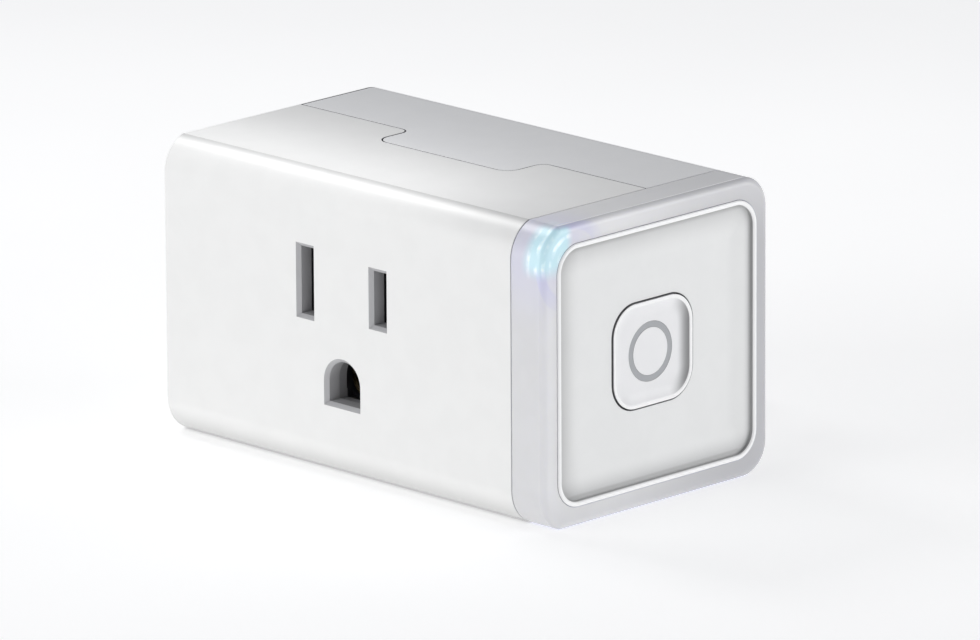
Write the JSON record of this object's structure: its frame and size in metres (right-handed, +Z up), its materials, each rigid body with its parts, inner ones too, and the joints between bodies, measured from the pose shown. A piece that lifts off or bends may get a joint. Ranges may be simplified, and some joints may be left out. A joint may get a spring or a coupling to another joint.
{
  "type": "smart plug",
  "caption": "Compact wall plug with one grounded outlet in front, blades behind, a light ring around its right end and a push button in the end panel.",
  "frame": {"origin": "on the back face that lies against the wall outlet, on the centreline between the two blades, at half the body's height", "axes": "+X to the end with the button, +Y back into the wall along the blades, +Z up; the outlet faces -Y"},
  "size_m": [0.0664, 0.0604, 0.038],
  "materials": {
    "white_shell": "satin white",
    "white_shell_rear": "satin white",
    "light_guide": "translucent cool white",
    "panel_white": "fine satin white",
    "button_white": "satin white",
    "ring_grey": "satin grey",
    "carrier_grey": "matte grey",
    "contact_brass": "rolled",
    "prong_metal": "bright nickel plate",
    "black_plastic": "matte black",
    "copper": "enamelled copper",
    "board_green": "solder mask",
    "steel": "zinc plated",
    "relay_blue": "moulded blue",
    "bobbin_cream": "moulded cream",
    "ferrite": "sintered grey",
    "winding_tape": "yellow tape",
    "sleeve_dark": "shrink sleeve",
    "resistor_green": "matte coating",
    "shield_metal": "tinned",
    "led_lens": "diffuse lens",
    "gold_pins": "gold flash",
    "plunger_grey": "moulded"
  },
  "bodies": {
    "plug": {"front_housing": "white_shell", "rear_housing": "white_shell_rear", "light_ring": "light_guide", "end_panel": "panel_white", "contact_carrier": "carrier_grey", "neutral_contact": "contact_brass", "line_contact": "contact_brass", "ground_contact": "contact_brass", "neutral_blade": "prong_metal", "line_blade": "prong_metal", "ground_pin": "prong_metal", "blade_holder": "black_plastic", "ground_strap": "copper", "power_board": "board_green", "board_screws": "steel", "carrier_screws": "steel", "relay_base": "relay_blue", "relay_cover": "relay_blue", "relay_bobbin": "bobbin_cream", "relay_coil": "copper", "relay_core": "steel", "relay_yoke": "steel", "relay_contact": "contact_brass", "relay_pins": "prong_metal", "transformer_core": "ferrite", "transformer_winding": "winding_tape", "transformer_base": "black_plastic", "bulk_capacitor": "sleeve_dark", "output_capacitor": "sleeve_dark", "film_capacitor": "winding_tape", "varistor": "relay_blue", "fuse_resistor": "resistor_green", "choke": "ferrite", "bridge_rectifier": "black_plastic", "power_chip": "black_plastic", "control_board": "board_green", "radio_shield": "shield_metal", "status_led": "led_lens", "header_block": "black_plastic", "header_pins": "gold_pins", "switch_body": "black_plastic"},
    "button": {"button_cap": "button_white", "button_ring_inlay": "ring_grey"},
    "plunger": {"switch_plunger": "plunger_grey"},
    "armature": {"relay_armature": "steel"}
  },
  "joints": [
    {"name": "button_press", "type": "slide", "parent": "plug", "child": "button", "axis": [-1, 0, 0], "range_m": [0, 0.0003], "stiffness_N_per_m": 400},
    {"name": "plunger_press", "type": "slide", "parent": "plug", "child": "plunger", "axis": [-1, 0, 0], "range_m": [0, 0.0003]},
    {"name": "armature_pull", "type": "hinge", "parent": "plug", "child": "armature", "pos_m": [-0.0204, -0.0268, 0.0062], "axis": [1, 0, 0], "range_deg": [0, 3], "stiffness_Nm_per_rad": 0.005}
  ],
  "couplings": [
    {"joint": "plunger_press", "follows": "button_press", "ratio": 1}
  ]
}
